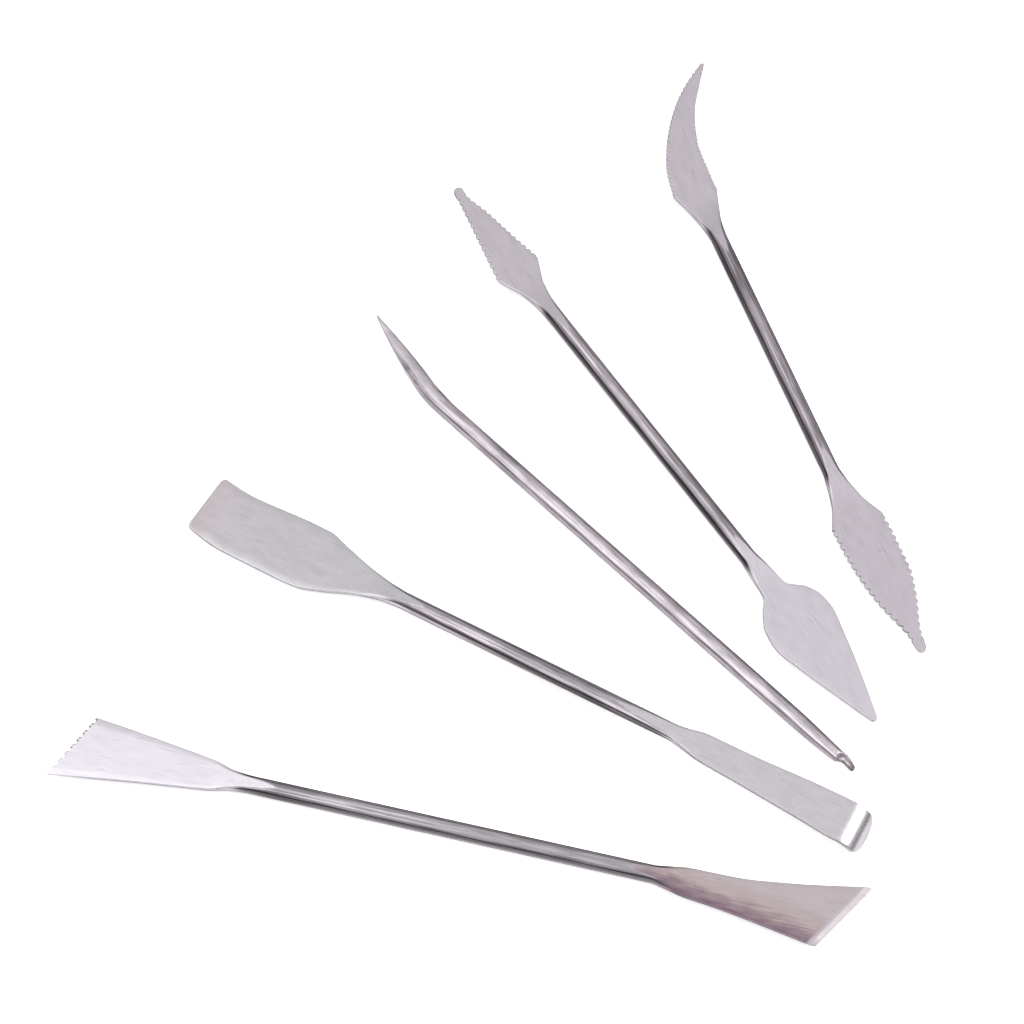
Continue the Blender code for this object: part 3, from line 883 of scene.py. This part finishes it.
def stainless_steel(tool, centre):
    """Forged stainless steel: satin ground blades, over a drawn rod that keeps its darker skin,
    with painted shade and a painted highlight on it.
    """
    finish = FINISHES[tool.node]
    material = bpy.data.materials.new(tool.node.replace("tool", "forged_stainless_steel"))
    material.use_nodes = True
    tree = material.node_tree
    shader = tree.nodes["Principled BSDF"]
    shader.inputs["Metallic"].default_value = 1.0
    shader.inputs["Specular Tint"].default_value = linear(GLANCING_TINT)

    # Grinding laid bare a lighter, rougher steel, up to the blades' rims and the necks.
    place = tool_frame(tree, tool, centre)
    ground = add(tree, "Attribute", attribute_name="ground")["Fac"]
    marks = marks_of(tree, place, DRAWING_MARKS, detail=4.0)
    clouds = marks_of(tree, place, CLOUDS, detail=4.0)
    grain = marks_of(tree, place, GRAIN, detail=2.0)
    # The rod's colour holds painted shade on its flanks and a painted highlight on its low edge.
    rod = rod_skin_and_painted_light(tree, place, marks, finish)
    blades = ground_blades(tree, place, tool, finish, clouds, marks)
    colour = add(tree, "Mix", {SHARE: ground, FIRST: rod, SECOND: blades}, data_type="RGBA")[MIXED]

    # Clouds of a few millimetres mottle it all.
    clouded = add(tree, "MapRange",
                  (clouds, *FULL_BAND, 1 - finish.mottles, 1 + finish.mottles / 2),
                  interpolation_type="SMOOTHSTEP")[0]
    colour = add(tree, "VectorMath", {0: colour, "Scale": clouded}, operation="SCALE")[0]
    tree.links.new(colour, shader.inputs["Base Color"])

    # The grain makes the gloss vary a little along the tool.
    rough = add(tree, "MapRange", (ground, 0.0, 1.0, finish.rod_roughness, finish.blade_roughness),
                interpolation_type="SMOOTHSTEP")[0]
    gloss = add(tree, "MapRange", (grain, *FULL_BAND, *GRAIN_GLOSS),
                interpolation_type="SMOOTHSTEP")[0]
    rough = add(tree, "Math", (rough, gloss), operation="ADD")[0]
    tree.links.new(rough, shader.inputs["Roughness"])
    tree.links.new(steel_relief(tree, ground, clouds, marks, grain), shader.inputs["Normal"])
    return material


# How the table top looks by itself, in the steel, and how much it glows towards the camera.
TABLE_TONES = ("#F5F5F5", "#F8F8F8")
TABLE_IN_STEEL = "#EEECEE"
TABLE_GLOW = 0.5


def pale_table():
    """Smooth white table top with a faint unevenness of tone, which steel mirrors in grey."""
    material = bpy.data.materials.new("white_laminate_table")
    material.use_nodes = True
    tree = material.node_tree
    shader = tree.nodes["Principled BSDF"]
    rays = add(tree, "LightPath")
    place = add(tree, "TexCoord")["Object"]
    uneven = add(tree, "TexNoise", {"Vector": place, "Scale": 4.0, "Detail": 2.0})["Fac"]
    tone = add(tree, "Mix", {SHARE: uneven, FIRST: TABLE_TONES[0], SECOND: TABLE_TONES[1]},
               data_type="RGBA")[MIXED]
    colour = add(tree, "Mix", {SHARE: rays["Is Glossy Ray"], FIRST: tone, SECOND: TABLE_IN_STEEL},
                 data_type="RGBA")[MIXED]
    glow = add(tree, "Math", (rays["Is Camera Ray"], TABLE_GLOW), operation="MULTIPLY")[0]
    tree.links.new(colour, shader.inputs["Base Color"])
    tree.links.new(glow, shader.inputs["Emission Strength"])
    shader.inputs["Emission Color"].default_value = (1.0, 1.0, 1.0, 1.0)
    shader.inputs["Roughness"].default_value = 0.6
    shader.inputs["Specular IOR Level"].default_value = 0.2
    return material


# ---- Tools ---------------------------------------------------------------------------------------

def file_fan_notches(piece, tool, shift):
    """File a row of round notches across the fan's slanted end."""
    end = tool_sections(tool)[0]
    low = end.low.to_3d()
    high = end.high.to_3d()
    bm = bmesh.new()
    ground_share = bm.verts.layers.float.new("ground")
    for notch in range(FAN_NOTCHES):
        middle = low.lerp(high, (notch + 0.5) / FAN_NOTCHES)
        bmesh.ops.create_cone(bm, cap_ends=True, segments=NOTCH_SIDES, radius1=FAN_NOTCH_RADIUS,
                              radius2=FAN_NOTCH_RADIUS, depth=BLADE_THICKNESS,
                              matrix=Matrix.Translation(middle))
    for vert in bm.verts:
        vert[ground_share] = 1.0
    turned = Matrix.Rotation(math.radians(tool.turn), 4, "Z")
    bmesh.ops.transform(bm, matrix=Matrix.Translation(shift) @ turned @ Matrix.Scale(MM, 4),
                        verts=bm.verts)
    file = make_piece("fan_notch_file", bm, piece.data.materials[0])
    notching = piece.modifiers.new("fan_notches", "BOOLEAN")
    notching.operation = "DIFFERENCE"
    notching.object = file
    filed = piece.evaluated_get(bpy.context.evaluated_depsgraph_get())
    unfiled = piece.data
    piece.data = bpy.data.meshes.new_from_object(filed)
    piece.data.set_sharp_from_angle(angle=SHARP_ANGLE)
    piece.modifiers.clear()
    bpy.data.meshes.remove(unfiled)
    bpy.data.objects.remove(file)


def make_tool(tool):
    """Forge a tool, lay it down and let it stand for its CAD node."""
    bm = draw_out(tool)
    for bend in tool.bends:
        bend_steel(bm, tool, bend)
    shift = lay_down(bm, tool)
    piece = make_piece(tool.node + "_steel", bm, stainless_steel(tool, shift))
    if tool.left is FAN:
        file_fan_notches(piece, tool, shift)
    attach(piece, "root")
    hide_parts(tool.node)
    return piece


# ---- Table, light and camera ---------------------------------------------------------------------

def lay_table():
    """Make the table top that the tools lie on."""
    bm = bmesh.new()
    bmesh.ops.create_grid(bm, x_segments=1, y_segments=1, size=3.0)
    table = make_piece("table_top", bm, pale_table())


def add_softbox(name, location, size, power, in_reflections=True):
    """Hang a square softbox that faces the middle of the set, in metres and watts."""
    light = bpy.data.lights.new(name, "AREA")
    light.shape = "SQUARE"
    light.size = size
    light.energy = power
    lamp = bpy.data.objects.new(name, light)
    lamp.location = location
    lamp.rotation_euler = Vector(location).to_track_quat("Z", "Y").to_euler()
    lamp.visible_glossy = in_reflections
    bpy.context.scene.collection.objects.link(lamp)


# Brightness of the soft studio by the height that a ray looks up at, from 0 at the table's level
# to 1 overhead: (lowest height, highest height, brightness at the first, at the second).
WALLS = (0.0, 0.46, 0.16, 0.62)
CEILING = (0.5, 0.95, 0.0, 0.28)
BACKDROP = 0.95                             # brightness that the camera itself sees


def light_studio():
    """Surround the set with a soft studio: light above, a darker band at table height."""
    world = bpy.data.worlds.new("soft_studio")
    world.use_nodes = True
    bpy.context.scene.world = world
    tree = world.node_tree
    background = tree.nodes["Background"]
    background.inputs["Color"].default_value = linear("#FBFAFC")
    towards = add(tree, "TexCoord")["Generated"]
    height = add(tree, "SeparateXYZ", (towards,))["Z"]
    walls = add(tree, "MapRange", (height, *WALLS), interpolation_type="SMOOTHSTEP")[0]
    ceiling = add(tree, "MapRange", (height, *CEILING), interpolation_type="SMOOTHSTEP")[0]
    room = add(tree, "Math", (walls, ceiling), operation="ADD")[0]
    is_camera = add(tree, "LightPath")["Is Camera Ray"]
    strength = add(tree, "Mix", {"Factor": is_camera, "A": room, "B": BACKDROP})[0]
    tree.links.new(strength, background.inputs["Strength"])
    add_softbox("overhead_softbox", (-0.45, 0.2, 1.2), size=0.65, power=0.75)
    add_softbox("front_left_softbox", (-0.78, -0.55, 0.8), size=0.9, power=2.4)
    add_softbox("right_softbox", (0.81, 0.07, 0.74), size=0.6, power=2.6)
    add_softbox("side_light", (0.95, 0.1, 0.85), size=0.7, power=9.0, in_reflections=False)
    add_softbox("table_light", (0.0, 0.3, 1.6), size=1.6, power=4.0, in_reflections=False)


def aim_camera():
    """Look down at the set from the front, with its middle in the middle of the view."""
    target = Vector((4.555, -11.945, 2.1)) * MM
    elevation = math.radians(62)
    distance = 621.2 * MM
    data = bpy.data.cameras.new("camera")
    data.lens = 95.33
    data.sensor_width = 36.0
    camera = bpy.data.objects.new("camera", data)
    camera.location = target + distance * Vector((0, -math.cos(elevation), math.sin(elevation)))
    camera.rotation_euler = (math.pi / 2 - elevation, 0, 0)
    bpy.context.scene.collection.objects.link(camera)
    bpy.context.scene.camera = camera


for steel_tool in TOOLS:
    make_tool(steel_tool)
lay_table()
light_studio()
aim_camera()
bpy.context.scene.view_settings.view_transform = "Standard"
